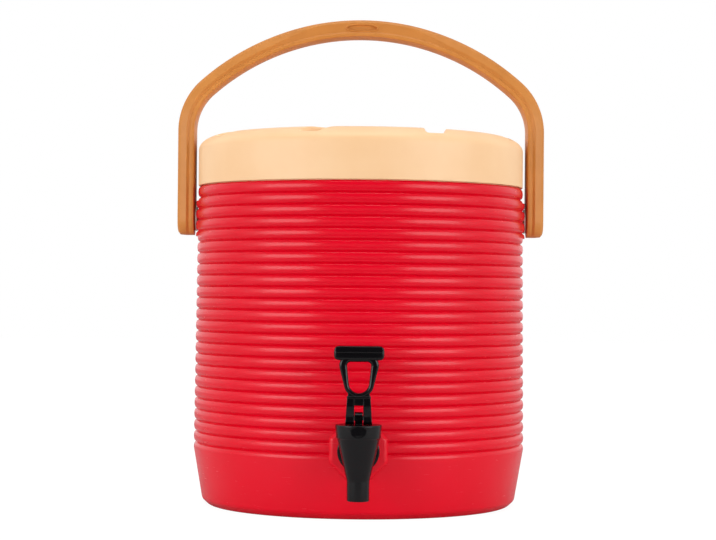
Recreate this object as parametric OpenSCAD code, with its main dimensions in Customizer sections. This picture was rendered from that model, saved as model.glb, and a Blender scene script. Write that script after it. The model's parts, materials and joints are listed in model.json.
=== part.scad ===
// Insulated beverage dispenser: ribbed foam-filled barrel, screw lid, carrying bail and lever tap.
// The origin is the middle of the ring that the barrel stands on, and the tap faces -Y.

/* [Barrel] */
// Crest radius of the lowest rib
barrel_r = 151.6; // [148:0.2:156]
// Amount by which the crest radius shrinks up to the top rib
barrel_draw = 2; // [0:0.2:3]
// Number of ribs
rib_count = 23; // [20:1:26]
// Height of one rib
rib_pitch = 10.15; // [9.5:0.05:11]
// Depth of the grooves between the ribs
rib_depth = 2.2; // [1.5:0.1:2.8]
// Height of the plain band below the ribs
band_h = 57; // [54:1:66]
// Amount by which the band draws in at its foot
band_draw = 8; // [6:0.5:10]
// Rounding of the foot's outer edge
foot_round = 6; // [4:0.5:8]
// Width of the ring that the barrel stands on
foot_w = 14; // [10:1:20]
// Height of the base panel above the ring
foot_recess = 4; // [2:0.5:6]
// Wall thickness of the shell under the grooves
shell_wall = 3; // [2:0.25:4]
// Radius of the foaming hole in the base
port_r = 9; // [6:0.5:12]

/* [Vessel] */
// Thickness of the foam between the shell and the steel vessel
foam_w = 21.4; // [19:0.2:27]
// Thickness of the vessel's sheet
liner_t = 1; // [0.6:0.1:1.4]
// Space between the tap's inner washer and the rounding of the vessel's floor
floor_gap = 3; // [1:0.5:8]
// Rounding between its floor and its wall
liner_corner = 8; // [4:0.5:8]
// Width of the folded rim at its mouth
liner_lip = 13; // [10:0.5:15]

/* [Collar] */
// Height of the neck above the barrel
neck_h = 13.6; // [13:0.2:15]
// Wall thickness of the collar
collar_t = 2.5; // [2:0.25:3]
// Depth of the spigot that sits in the barrel's mouth
spigot_h = 12; // [8:0.5:16]
// Space between the neck and the lid's skirt
neck_space = 7; // [6.5:0.1:8]
// Number of thread starts
thread_starts = 4; // [3:1:4]
// Rise of the lid in one turn
thread_lead = 30; // [28:0.5:34]
// Angle that each thread lug spans
thread_span = 30; // [20:1:36]
// Depth of the thread lugs
thread_depth = 4.5; // [4:0.1:5]
// Height of a lug at its root
thread_w = 3; // [2:0.1:3.2]

/* [Lid] */
// Distance of the lid's side inside the crest of the top rib
lid_inset = 0.2; // [0:0.1:2]
// Height of the lid
lid_h = 47; // [44:0.5:50]
// Wall thickness of the lid
lid_wall = 3; // [2:0.25:3.5]
// Height of its rounded shoulder
lid_round = 14; // [11:0.5:15]
// Width of the shoulder, from its side inwards
lid_crown = 26; // [20:0.5:30]
// Width of the raised rim around its dish
lid_rim_w = 40; // [34:1:46]
// Depth of the dish
lid_dish = 8; // [6:0.5:9]
// Number of grip grooves across the rim
grip_count = 8; // [6:1:10]
// Width of a grip groove
grip_w = 18; // [14:0.5:20]
// Depth of a grip groove
grip_depth = 5.5; // [4:0.25:6]
// Rounding beside a groove's floor
grip_round = 3; // [1.5:0.25:4]
// Direction of the first groove's mouth, from the front towards the right
grip_turn = 25.5; // [0:0.5:44]
// Slant of a groove from the radius
grip_slant = 25; // [15:1:30]
// Reach of the lid's plug below the vessel's rim
plug_drop = 12; // [8:0.5:13]
// Space between the plug and the vessel
plug_space = 3; // [2:0.25:4]
// Thickness of the inner dish
plug_t = 2.5; // [2:0.25:3]
// Thickness of the seal ring
seal_t = 4; // [3:0.25:5]
// Width of the seal ring
seal_w = 11; // [9:0.5:13]

/* [Vent] */
// Radius of the vent's shaft
vent_r = 5; // [4:0.25:6]
// Radius of its head
vent_head_r = 12; // [10:0.5:14]
// Height of its head
vent_head_h = 10; // [8:0.5:12]
// Thickness of its washer
vent_washer_t = 2; // [1.5:0.25:3]
// Travel of the vent
vent_lift = 6; // [5:0.5:8]

/* [Bail] */
// Distance from the lid's seam down to the bail's pivots
pivot_drop = 29.4; // [28:0.2:33]
// Height of the bail's top above the pivots
bail_rise = 184; // [182:0.5:190]
// Radius of the arch's outer face
arch_r = 222; // [216:1:226]
// Outer radius of the bends between the arch and the arms
bend_r = 62; // [54:1:66]
// Thickness of the bail
bail_t = 16.5; // [15:0.25:18]
// Width of the bail from front to back
bail_w = 30; // [29:0.5:34]
// Height of the crease above the inner face
bail_crease = 4.5; // [4:0.25:8]
// Amount by which the outer face is narrower than the crease, on each side
bail_bevel = 4; // [3:0.25:4.5]
// Half angle of the grip's full section
grip_angle = 11; // [8:0.5:14]
// Length of the oval dimple in the grip
dimple_l = 31; // [20:1:36]
// Height of the dimple
dimple_h = 6.6; // [5:0.2:8]
// Half width and half height of the pivot bosses
boss_r = 16; // [14:0.5:17]
// Rise of the bosses over the ribs
boss_rise = 1.7; // [1:0.1:2.5]
// Shoulder radius of the pivot screws
pivot_r = 6; // [5:0.25:7]
// Head radius of the pivot screws
pivot_head_r = 8; // [7.5:0.25:8.25]
// Thread radius of the pivot screws
pivot_thread_r = 4; // [3:0.25:4.5]
// Radius of the threaded inserts
insert_r = 7; // [6:0.25:8]
// Length of the inserts
insert_l = 16; // [14:0.5:18]

/* [Tap] */
// Height of the shank's axis
tap_z = 60; // [60:0.5:66]
// Distance from the pad to the valve's axis
tap_reach = 33.5; // [32:0.5:38]
// Width of the octagonal pad across its flats
pad_w = 50; // [46:1:56]
// Rise of the pad over the lowest rib
pad_rise = 0.6; // [0.4:0.1:2]
// Radius of the threaded shank
shank_r = 8; // [7.5:0.25:8.5]
// Radius of the passage through the shank
shank_bore_r = 5.5; // [4.5:0.25:5.5]
// Radius of the tap's flange
flange_r = 18; // [16:0.5:19]
// Thickness of the flange
flange_t = 4; // [3:0.5:5]
// Thickness of the washers
tap_washer_t = 2; // [1.5:0.25:3]
// Thickness of the shank nut
nut_t = 8; // [6:0.5:10]
// Width of the nut across its flats
nut_w = 26; // [24:0.5:28]
// Height of the tap's top above the shank's axis
tap_rise = 24.6; // [24:0.2:27]
// Top radius of the funnel
funnel_r = 19.5; // [18.5:0.25:21]
// Outer radius of the spout
spout_r = 9.5; // [9:0.1:10]
// Height of the spout's end above the ground
spout_z = 19.5; // [15:0.5:24]
// Radius of the passage through the spout
spout_bore_r = 6; // [5:0.25:6.5]
// Depth of the valve's seat below the shank's axis
seat_drop = 12; // [11:0.25:13]
// Radius of the bonnet
bonnet_r = 15.4; // [14.5:0.1:16]
// Height of the bonnet
bonnet_h = 8; // [7:0.25:9]
// Radius of the stem
stem_r = 3; // [2.5:0.1:3.4]
// Lift of the stem with the lever down
stem_lift = 5; // [4:0.1:5.5]
// Wire radius of the stem's spring
spring_wire_r = 0.6; // [0.4:0.05:0.8]
// Turns of the spring
spring_turns = 5; // [4:1:6]

/* [Lever] */
// Height of the lever's pin above the bonnet
pin_rise = 5.4; // [5:0.1:7]
// Radius of the pin
pin_r = 2; // [1.5:0.1:2.2]
// Width of the lever's fork at its top
fork_w = 19.5; // [18:0.5:22]
// Width of the fork at its foot
fork_low_w = 23; // [20:0.5:24]
// Width of the slot in the fork
slot_w = 7.5; // [7:0.25:8]
// Height of the slot's top above the pin
slot_h = 10.4; // [8:0.2:12]
// Thickness of the lever
lever_t = 8; // [6.5:0.25:9]
// Tilt of the lever with the tap open
lever_tilt = 45; // [35:1:50]
// Height of the finger loop's lower end above the pin
loop_z = 19; // [17:0.5:24]
// Height of the finger loop
loop_h = 28; // [22:0.5:32]
// Width of the finger loop at its top
loop_top_w = 20; // [16:0.5:24]
// Width of the finger loop at its lower end
loop_low_w = 12; // [10:0.5:14]
// Thickness of the bars around the loop
loop_bar = 6.5; // [5:0.25:8]
// Width of the bar on top
bar_w = 42; // [38:0.5:48]
// Height of the bar on top
bar_h = 12; // [9:0.25:13]
// Depth of the bar on top
bar_t = 9.5; // [8:0.25:11]

/* [Hidden] */
$fn = 96;

// Clearances
foam_gap = 0.3;
fit_gap = 0.3;
press_gap = 0.05;
run_gap = 0.05;
seam_gap = 0.6;
bail_gap = 0.5;
cam_gap = 0.3;
embed = 0.5;

// Overrun of the cuts, and half size of the blocks that trim pieces round the shank
over = 1;
trim = 20;

// Barrel
seam_z = band_h + rib_count * rib_pitch;
rib_arc = (rib_pitch * rib_pitch / 4 + rib_depth * rib_depth) / (2 * rib_depth);
top_crest_r = barrel_r - barrel_draw;
shell_in_r = top_crest_r - rib_depth - shell_wall;
foot_r = barrel_r - band_draw;
foot_in_r = foot_r - shell_wall;
foot_flat_r = foot_r - foot_round;
base_z = foot_recess + shell_wall;
port_lip = 3;
port_flange_r = port_r + port_lip;
port_flange_t = 1.5;

// Vessel and collar
liner_r = shell_in_r - foam_w - liner_t;
lid_r = top_crest_r - lid_inset;
deck_z = seam_z + neck_h;
rim_z = deck_z + liner_t;
lid_in_r = lid_r - lid_wall;
neck_r = lid_in_r - neck_space;
neck_in_r = neck_r - collar_t;
spigot_r = shell_in_r - fit_gap;
collar_flange_r = max(lid_in_r - seam_gap, spigot_r);
collar_in_r = min(neck_in_r, spigot_r - collar_t);
thread_flank = 0.6;
thread_tip = thread_w - 2 * thread_flank;
thread_steps = 8;
thread_rise = 5.4;
neck_thread_z = seam_z + collar_t + thread_rise;
lid_thread_z = neck_thread_z - thread_lead / thread_starts / 2;

// Lid
lid_z = seam_z + seam_gap;
lid_top = lid_z + lid_h;
dish_z = lid_top - lid_dish;
dish_r = lid_r - lid_rim_w;
plug_r = liner_r - plug_space;
plug_z = rim_z - plug_drop;
plug_flange_z = rim_z + seal_t;
ledge_z = plug_flange_z + plug_t;
ledge_w = 3;
chamber_r = lid_in_r - ledge_w;
crown_steps = 10;
grip_z = lid_top - grip_depth;
grip_l = 1.5 * lid_rim_w;
vent_head_z = dish_z + vent_washer_t;
vent_head_draw = 2;
vent_tip_h = 3;
vent_tip_draw = 1;
vent_barb = 1.2;
vent_washer_inset = 1;
vent_foam_gap = 1;

// Bail
pivot_z = seam_z - pivot_drop;
pivot_crest_r = barrel_r - barrel_draw * (pivot_z - band_h) / (seam_z - band_h);
bail_x = pivot_crest_r + boss_rise + bail_gap;
arch_z = pivot_z + bail_rise - arch_r;
bend_x = bail_x + bail_t - bend_r;
bend_z = arch_z + sqrt(pow(arch_r - bend_r, 2) - pow(bend_x, 2));
bend_angle = atan2(bend_z - arch_z, bend_x);
boss_angle = asin(boss_r / pivot_crest_r);
bail_edge = 2.5;
inner_edge = 2;
grip_edge = 1.5;
arch_steps = 40;
bend_steps = 10;
dimple_depth = 1.2;
dimple_steps = 32;
seat_depth = 1;
seat_x = pivot_crest_r + boss_rise - seat_depth;
washer_w = 5;
washer_r = pivot_r + washer_w;
washer_play = 0.1;
washer_t = bail_x - seat_x - washer_play;
head_t = 3;
cap_t = 2.4;
head_x = bail_x + bail_t - cap_t - head_t;
boss_wall = 3;
inner_boss_r = insert_r + boss_wall;
boss_floor = 2;
wall_grip = 1;
insert_x = seat_x - insert_l;
thread_stop = 2;

// Tap
pad_y = barrel_r + pad_rise;
axis_y = pad_y + tap_reach;
pad_bevel = 2;
pad_turn = 22.5;
flange_y = pad_y + tap_washer_t;
tap_top = tap_z + tap_rise;
seat_z = tap_z - seat_drop;
rim_drop = 9.6;
rim_draw = 1.3;
funnel_waist_r = funnel_r - rim_draw;
spout_drop = 22;
spout_top_z = tap_z - spout_drop;
spout_draw = 0.2;
funnel_wall = 2.6;
bonnet_z = tap_top - bonnet_h;
bonnet_plate = 3.5;
bonnet_skirt = 2;
guide_r = 6;
guide_drop = 2;
hole_r = shank_r + fit_gap;
sleeve_t = 1.7;
sleeve_r = hole_r + sleeve_t;
sleeve_play = 1.6;
washer_inset = 1;
washer_out_r = flange_r - washer_inset;
washer_in_r = nut_w / 2;
liner_floor = tap_z - washer_in_r - liner_corner - floor_gap;
nut_clear = 4;
nut_seat_y = liner_r - nut_clear;
nut_y = nut_seat_y - nut_t;
shank_over = 4;
shank_end_y = nut_y - shank_over;
neck_tube_t = 4;
neck_tube_r = shank_r + neck_tube_t;
eye_r = 5.5;
eye_drop = 6.6;
eye_z = tap_top - eye_drop;
eye_depth = 1.2;

// Valve and lever
pin_z = tap_top + pin_rise;
cup_r = 8.2;
cup_h = 3;
cup_neck_r = 6.4;
cup_bevel = 1;
cup_full_h = 8;
cup_top_z = seat_z + cup_full_h;
cup_floor = 2;
stem_foot_z = seat_z + cup_floor;
spring_r = 5;
spring_play = 0.1;
spring_low_z = cup_top_z + spring_wire_r + spring_play;
spring_high_z = bonnet_z - guide_drop - spring_wire_r - spring_play;
spring_pitch = (spring_high_z - spring_low_z) / spring_turns;
spring_sides = 6;
spring_rings = 8;
head_play = 0.45;
head_w = slot_w - 2 * head_play;
head_l = 10;
head_rise = 0.6;
head_low_z = tap_top + head_rise;
cam_rate = stem_lift / (lever_tilt * PI / 180);
cam_low = pin_rise - cam_gap;
cam_steps = 6;
fork_back = 5.5;
toe_w = 1;
toe_h = 4;
loop_floor = 1;
fork_top = loop_z - loop_floor;
loop_top_r = 3;
loop_low_r = loop_low_w / 2;
bar_lift = 1;
bar_z = pin_z + loop_z + loop_h + bar_lift + bar_h / 2;
bar_round = 3.5;

// Point on the spring's centre line at a ring
function spring_point(k) =
    let (a = 360 * k / spring_rings)
    [spring_r * cos(a), spring_r * sin(a), spring_low_z + spring_pitch * k / spring_rings];

spring_turn_gaps = [
    for (k = [0 : (spring_turns - 1) * spring_rings])
        norm(spring_point(k + spring_rings) - spring_point(k)) - 2 * spring_wire_r
];
echo(least_spring_gap = min(spring_turn_gaps));

// A solid swept through rings of points that all turn the same way
module sweep(rings) {
    n = len(rings);
    m = len(rings[0]);
    polyhedron(
        points = [for (ring = rings) each ring],
        faces = [
            [for (j = [m - 1 : -1 : 0]) j],
            for (k = [0 : n - 2], j = [0 : m - 1])
                each let (a = k * m + j, b = k * m + (j + 1) % m) [[a, b, b + m], [a, b + m, a + m]],
            [for (j = [0 : m - 1]) (n - 1) * m + j]
        ]
    );
}

// One helical thread lug between two radii
module thread_lug(root_r, tip_r, z) {
    turn = sign(tip_r - root_r);
    corners = [
        [root_r, -turn * thread_w / 2], [tip_r, -turn * thread_tip / 2],
        [tip_r, turn * thread_tip / 2], [root_r, turn * thread_w / 2]
    ];
    sweep([
        for (k = [0 : thread_steps])
            let (a = thread_span * k / thread_steps)
            [for (c = corners) [c[0] * cos(a), c[0] * sin(a), z + c[1] + thread_lead * a / 360]]
    ]);
}

module thread(root_r, tip_r, z) {
    for (s = [0 : thread_starts - 1])
        rotate([0, 0, 360 * s / thread_starts]) thread_lug(root_r, tip_r, z);
}

// A copy on each side of the barrel
module both_sides() {
    for (s = [0, 1]) mirror([s, 0, 0]) children();
}

// A cylinder along X at the bail's pivot
module pivot_cylinder(r, x, l) {
    translate([x, 0, pivot_z]) rotate([0, 90, 0]) cylinder(r = r, h = l);
}

// A cylinder along the tap's shank between two distances in front of the barrel's axis
module shank_cylinder(r, y0, y1) {
    translate([0, -y0, tap_z]) rotate([90, 0, 0]) cylinder(r = r, h = y1 - y0);
}

module at_tap_axis() {
    translate([0, -axis_y, 0]) children();
}

// A cylinder along the lever's pin, as wide on both sides of the tap's axis
module lever_cylinder(r, l) {
    translate([-l / 2, 0, pin_z]) rotate([0, 90, 0]) cylinder(r = r, h = l);
}

// A round block about the barrel's axis, as high as the trim round the shank
module trim_block(r) {
    translate([0, 0, tap_z - trim]) cylinder(r = r, h = 2 * trim, $fn = 360);
}

// Half section of a round vessel with a rounded lower corner
module vessel_section(r, low, high, corner) {
    polygon([[0, low], [r - corner, low], [r, low + corner], [r, high], [0, high]]);
    translate([r - corner, low + corner]) circle(r = corner);
}

// Half section of the whole barrel, with its ribs moved outwards by rise
module barrel_section(rise = 0) {
    intersection() {
        square([2 * barrel_r, seam_z]);
        union() {
            polygon([
                [0, 0], [foot_flat_r, 0], [foot_r, foot_round], [barrel_r, band_h - rib_pitch / 2],
                [barrel_r + rise - rib_depth, band_h], [top_crest_r + rise - rib_depth, seam_z],
                [0, seam_z]
            ]);
            translate([foot_flat_r, foot_round]) circle(r = foot_round);
            for (i = [-1 : rib_count - 1])
                translate([
                    barrel_r - barrel_draw * max(i, 0) / (rib_count - 1) + rise - rib_arc,
                    band_h + (i + 0.5) * rib_pitch
                ]) circle(r = rib_arc);
        }
    }
}

// Half section of the hollow in the shell
module hollow_section(gap = 0) {
    polygon([
        [0, base_z + gap], [foot_in_r - gap, base_z + gap], [shell_in_r - gap, band_h],
        [shell_in_r - gap, seam_z + over], [0, seam_z + over]
    ]);
}

module inner_bosses(gap = 0) {
    low = insert_x - boss_floor - gap;
    both_sides() pivot_cylinder(inner_boss_r + gap, low, shell_in_r + wall_grip - low);
}

module tap_pad() {
    depth = pad_y - shell_in_r - 2 * wall_grip;
    corner_r = pad_w / 2 / cos(pad_turn);
    face_r = (pad_w / 2 - pad_bevel) / cos(pad_turn);
    translate([0, -pad_y, tap_z]) rotate([-90, 0, 0]) rotate([0, 0, pad_turn]) {
        cylinder(r1 = face_r, r2 = corner_r, h = pad_bevel, $fn = 8);
        translate([0, 0, pad_bevel]) cylinder(r = corner_r, h = depth - pad_bevel, $fn = 8);
    }
}

module outer_shell() {
    color("#dc1e32") difference() {
        union() {
            rotate_extrude() difference() {
                barrel_section();
                hollow_section();
                square([foot_flat_r - foot_w, foot_recess]);
                square([port_r, band_h]);
            }
            both_sides() rotate_extrude(angle = 2 * boss_angle, start = -boss_angle) intersection() {
                barrel_section(boss_rise);
                translate([shell_in_r + wall_grip, pivot_z - boss_r]) square([barrel_r, 2 * boss_r]);
            }
            tap_pad();
            inner_bosses();
        }
        both_sides() pivot_cylinder(insert_r + press_gap, insert_x, barrel_r);
        both_sides() pivot_cylinder(washer_r + press_gap, seat_x, barrel_r);
        shank_cylinder(hole_r, liner_r, 2 * barrel_r);
    }
}

module foam_port_plug() {
    color("#b01828") {
        translate([0, 0, foot_recess - port_flange_t]) cylinder(r = port_flange_r, h = port_flange_t);
        translate([0, 0, foot_recess]) cylinder(r = port_r - press_gap, h = shell_wall);
    }
}

module insulation_foam() {
    color("#ead9a8") difference() {
        rotate_extrude() difference() {
            hollow_section(foam_gap);
            vessel_section(
                liner_r + liner_t + foam_gap, liner_floor - liner_t - foam_gap, rim_z,
                liner_corner + liner_t + foam_gap
            );
            translate([spigot_r - collar_t - foam_gap, seam_z - spigot_h - foam_gap])
                square([2 * collar_t + over, 2 * spigot_h]);
            translate([0, seam_z - foam_gap]) square([2 * barrel_r, neck_h]);
        }
        inner_bosses(foam_gap);
        shank_cylinder(sleeve_r + foam_gap, liner_r - trim, pad_y);
    }
}

module inner_liner() {
    color("#c9ccce") difference() {
        union() {
            rotate_extrude() difference() {
                vessel_section(liner_r + liner_t, liner_floor - liner_t, rim_z, liner_corner + liner_t);
                vessel_section(liner_r, liner_floor, rim_z + over, liner_corner);
            }
            rotate_extrude() translate([liner_r, deck_z]) square([liner_lip, liner_t]);
        }
        shank_cylinder(hole_r, liner_r - trim, liner_r + trim);
    }
}

module rim_collar() {
    color("#f6d3aa") {
        rotate_extrude() {
            translate([spigot_r - collar_t, seam_z - spigot_h]) square([collar_t, spigot_h + collar_t]);
            translate([collar_in_r, seam_z]) square([collar_flange_r - collar_in_r, collar_t]);
            translate([neck_in_r, seam_z]) square([collar_t, neck_h]);
            translate([liner_r + liner_t + fit_gap, deck_z - collar_t])
                square([neck_r - liner_r - liner_t - fit_gap, collar_t]);
        }
        thread(neck_r - embed, neck_r + thread_depth, neck_thread_z);
    }
}

module pivot_inserts() {
    color("#b89a50") both_sides() difference() {
        pivot_cylinder(insert_r, insert_x, insert_l);
        pivot_cylinder(pivot_thread_r + press_gap, insert_x - over, insert_l + 2 * over);
    }
}

module pivot_screws() {
    color("#a8abad") both_sides() {
        pivot_cylinder(pivot_thread_r, insert_x + thread_stop, insert_l);
        pivot_cylinder(pivot_r, seat_x, head_x - seat_x + embed);
        difference() {
            pivot_cylinder(pivot_head_r, head_x, head_t);
            translate([head_x + head_t / 2, 0, pivot_z]) rotate([0, 90, 0])
                cylinder(r = pivot_thread_r, h = head_t, $fn = 6);
        }
    }
}

module pivot_washers() {
    color("#e6e2d8") both_sides() difference() {
        pivot_cylinder(washer_r, seat_x, washer_t);
        pivot_cylinder(pivot_r + press_gap, seat_x - over, washer_t + 2 * over);
    }
}

// Half section of the bail from its inner face outwards, from the full grip at 0 to the creased arm at 1
function bail_half(s) =
    let (half_w = bail_w / 2, grip_crease = bail_t - bail_edge - grip_edge, bevel = bail_bevel * s)
    [
        [0, half_w - inner_edge], [inner_edge, half_w],
        [grip_crease + (bail_crease - grip_crease) * s, half_w],
        [bail_t - bail_edge, half_w - bevel], [bail_t, half_w - bevel - bail_edge]
    ];

// Closed section of the bail
function bail_section(s) =
    let (half = bail_half(s), last = len(half) - 1)
    [each half, for (i = [last : -1 : 0]) [half[i][0], -half[i][1]]];

// Section of the bail, set on an arc about a centre
function bail_ring(centre, r, angle, s) =
    [
        for (p = bail_section(s))
            [
                centre[0] + (r - bail_t + p[0]) * cos(angle), p[1],
                centre[1] + (r - bail_t + p[0]) * sin(angle)
            ]
    ];

// Share of the way from the grip's end to the bend
function grip_share(angle) =
    min(1, max(0, (abs(angle - 90) - grip_angle) / (90 - grip_angle - bend_angle)));

module bail_sweep() {
    low = [bend_x, pivot_z - embed];
    arch_angle = 180 - 2 * bend_angle;
    sweep([
        bail_ring(low, bend_r, 0, 1),
        for (k = [0 : bend_steps - 1])
            bail_ring([bend_x, bend_z], bend_r, bend_angle * k / bend_steps, 1),
        for (k = [0 : arch_steps])
            let (a = bend_angle + arch_angle * k / arch_steps)
            bail_ring([0, arch_z], arch_r, a, grip_share(a)),
        for (k = [bend_steps - 1 : -1 : 0])
            bail_ring([-bend_x, bend_z], bend_r, 180 - bend_angle * k / bend_steps, 1),
        bail_ring([-low[0], low[1]], bend_r, 180, 1)
    ]);
}

// Lower end of an arm, whose section runs down to a half round about the pivot
module bail_end() {
    translate([bail_x, 0, pivot_z]) intersection() {
        translate([0, 0, -bail_w]) linear_extrude(bail_w) polygon(bail_section(1));
        rotate([0, 90, 0]) rotate_extrude()
            polygon([[0, 0], for (p = bail_half(0)) [p[1], p[0]], [0, bail_t]]);
    }
}

module bail_handle() {
    dimple_z = arch_z + arch_r - bail_t / 2;
    color("#c47f3e") difference() {
        union() {
            bail_sweep();
            both_sides() bail_end();
        }
        both_sides() {
            pivot_cylinder(pivot_r + run_gap, bail_x - over, bail_t + 2 * over);
            pivot_cylinder(pivot_head_r + fit_gap, head_x - fit_gap, bail_t);
        }
        translate([0, dimple_depth - bail_w / 2, dimple_z]) rotate([90, 0, 0])
            linear_extrude(bail_w) polygon([
                for (k = [1 : dimple_steps])
                    let (a = 360 * k / dimple_steps)
                    [dimple_l / 2 * cos(a), dimple_h / 2 * sin(a)]
            ]);
    }
}

module pivot_caps() {
    color("#b06f33") both_sides()
        pivot_cylinder(pivot_head_r + fit_gap - press_gap, head_x + head_t + fit_gap, cap_t - fit_gap);
}

// Half section of the lid's shoulder and side, with its top and shoulder moved in by inset
module lid_form(inset = 0) {
    polygon([
        [0, lid_z], [lid_r, lid_z], [lid_r, ledge_z], [lid_r - inset, ledge_z],
        for (k = [0 : crown_steps])
            let (a = 90 * k / crown_steps)
            [
                lid_r - lid_crown + (lid_crown - inset) * cos(a),
                lid_top - lid_round + (lid_round - inset) * sin(a)
            ],
        [0, lid_top - inset]
    ]);
}

// Half section of the lid's outer form
module lid_section() {
    difference() {
        lid_form();
        translate([0, dish_z]) square([dish_r, lid_dish + over]);
    }
}

// Half section of the space under the lid
module lid_space_section() {
    translate([0, lid_z - over]) square([lid_in_r, 2 * over]);
    intersection() {
        lid_form(lid_wall);
        polygon([
            [0, lid_z], [lid_in_r, lid_z], [lid_in_r, ledge_z], [chamber_r, ledge_z],
            [chamber_r, lid_top], [dish_r + lid_wall, lid_top],
            [dish_r + lid_wall, dish_z - lid_wall], [0, dish_z - lid_wall]
        ]);
    }
}

// Section of a grip groove, with its walls thickened by grow
module grip_section(grow) {
    translate([-grip_w / 2 - grow, grip_round]) square([grip_w + 2 * grow, grip_depth]);
    translate([grip_round - grip_w / 2, -grow]) square([grip_w - 2 * grip_round, grip_round + grow]);
    for (x = [-1, 1]) translate([x * (grip_w / 2 - grip_round), grip_round]) circle(r = grip_round + grow);
}

// Grip grooves, which slant from the lid's side to its dish
module grips(grow = 0) {
    for (i = [0 : grip_count - 1])
        rotate([0, 0, grip_turn - 90 + 360 * i / grip_count]) translate([lid_r, 0, grip_z])
            rotate([0, 0, -grip_slant]) translate([trim, 0, 0]) rotate([90, 0, -90])
                linear_extrude(grip_l + trim) grip_section(grow);
}

module lid_cover() {
    color("#fddcb5") difference() {
        union() {
            rotate_extrude() difference() {
                lid_section();
                lid_space_section();
            }
            intersection() {
                rotate_extrude() lid_section();
                grips(lid_wall);
            }
            thread(lid_in_r + embed, lid_in_r - thread_depth, lid_thread_z);
        }
        grips();
        translate([0, 0, lid_z]) cylinder(r = vent_r + run_gap, h = lid_h);
    }
}

module lid_inner() {
    color("#f4e8d6") difference() {
        rotate_extrude() {
            translate([0, plug_z]) square([plug_r, plug_t]);
            translate([plug_r - plug_t, plug_z]) square([plug_t, ledge_z - plug_z]);
            translate([plug_r - plug_t, plug_flange_z])
                square([lid_in_r - fit_gap - plug_r + plug_t, plug_t]);
        }
        translate([0, 0, plug_z - over]) cylinder(r = vent_r + run_gap, h = plug_t + 2 * over);
    }
}

module lid_foam() {
    foam_top = min(dish_z - lid_wall, lid_top - grip_depth - lid_wall) - foam_gap;
    foam_low = plug_z + plug_t + foam_gap;
    foam_r = plug_r - plug_t - foam_gap;
    color("#ead9a8") rotate_extrude() polygon([
        [vent_r + vent_foam_gap, foam_low], [foam_r, foam_low], [foam_r, ledge_z + foam_gap],
        [chamber_r - foam_gap, ledge_z + foam_gap], [chamber_r - foam_gap, foam_top],
        [vent_r + vent_foam_gap, foam_top]
    ]);
}

module lid_seal() {
    color("#d9d6cf") rotate_extrude()
        translate([plug_r + fit_gap, rim_z]) square([seal_w, seal_t]);
}

module vent_plug() {
    shaft_low = plug_z - vent_lift - fit_gap;
    color("#f0c690") {
        translate([0, 0, vent_head_z])
            cylinder(r1 = vent_head_r, r2 = vent_head_r - vent_head_draw, h = vent_head_h);
        translate([0, 0, shaft_low]) cylinder(r = vent_r, h = vent_head_z - shaft_low);
        translate([0, 0, shaft_low - vent_tip_h])
            cylinder(r1 = vent_r - vent_tip_draw, r2 = vent_r + vent_barb, h = vent_tip_h);
    }
}

module vent_washer() {
    color("#d9d6cf") translate([0, 0, dish_z]) difference() {
        cylinder(r = vent_head_r - vent_washer_inset, h = vent_washer_t);
        translate([0, 0, -over]) cylinder(r = vent_r + press_gap, h = vent_washer_t + 2 * over);
    }
}

// Outer radius of the tap's funnel at a height
function funnel_at(z) = funnel_waist_r
    - (funnel_waist_r - spout_r) * (tap_top - rim_drop - z) / (tap_top - rim_drop - spout_top_z);

module tap_body() {
    waist_z = tap_top - rim_drop;
    color("#242325") difference() {
        union() {
            at_tap_axis() rotate_extrude() polygon([
                [0, spout_z], [spout_r - spout_draw, spout_z], [spout_r, spout_top_z],
                [funnel_waist_r, waist_z], [funnel_r, tap_top], [0, tap_top]
            ]);
            shank_cylinder(shank_r, shank_end_y, axis_y);
            shank_cylinder(neck_tube_r, flange_y, axis_y);
            shank_cylinder(flange_r, flange_y, flange_y + flange_t);
        }
        at_tap_axis() rotate_extrude() polygon([
            [0, spout_z - over], [spout_bore_r, spout_z - over], [spout_bore_r, seat_z],
            [funnel_at(seat_z) - funnel_wall, seat_z], [funnel_at(bonnet_z) - funnel_wall, bonnet_z],
            [bonnet_r + press_gap, bonnet_z], [bonnet_r + press_gap, tap_top + over], [0, tap_top + over]
        ]);
        shank_cylinder(shank_bore_r, shank_end_y - over, axis_y);
        translate([0, eye_depth - funnel_at(eye_z) - axis_y, eye_z]) rotate([90, 0, 0])
            cylinder(r = eye_r, h = funnel_r);
    }
}

module tap_bonnet() {
    color("#1e1d1f") at_tap_axis() rotate_extrude() {
        translate([stem_r + run_gap, tap_top - bonnet_plate])
            square([bonnet_r - stem_r - run_gap, bonnet_plate]);
        translate([bonnet_r - bonnet_skirt, bonnet_z]) square([bonnet_skirt, bonnet_h]);
        translate([stem_r + run_gap, bonnet_z - guide_drop])
            square([guide_r - stem_r, bonnet_h + guide_drop]);
    }
}

module tap_stem() {
    color("#2a292b") at_tap_axis() difference() {
        union() {
            translate([0, 0, stem_foot_z]) cylinder(r = stem_r, h = pin_z - stem_foot_z);
            translate([-head_w / 2, -head_l / 2, head_low_z])
                cube([head_w, head_l, pin_z - head_low_z]);
            lever_cylinder(head_l / 2, head_w);
        }
        lever_cylinder(pin_r + run_gap, 2 * fork_w);
    }
}

module seat_cup() {
    color("#d8d3c8") at_tap_axis() rotate_extrude() polygon([
        [0, seat_z], [cup_r, seat_z], [cup_r, seat_z + cup_h], [cup_neck_r, seat_z + cup_h + cup_bevel],
        [cup_neck_r, cup_top_z], [stem_r + press_gap, cup_top_z],
        [stem_r + press_gap, stem_foot_z - press_gap], [0, stem_foot_z - press_gap]
    ]);
}

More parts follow.
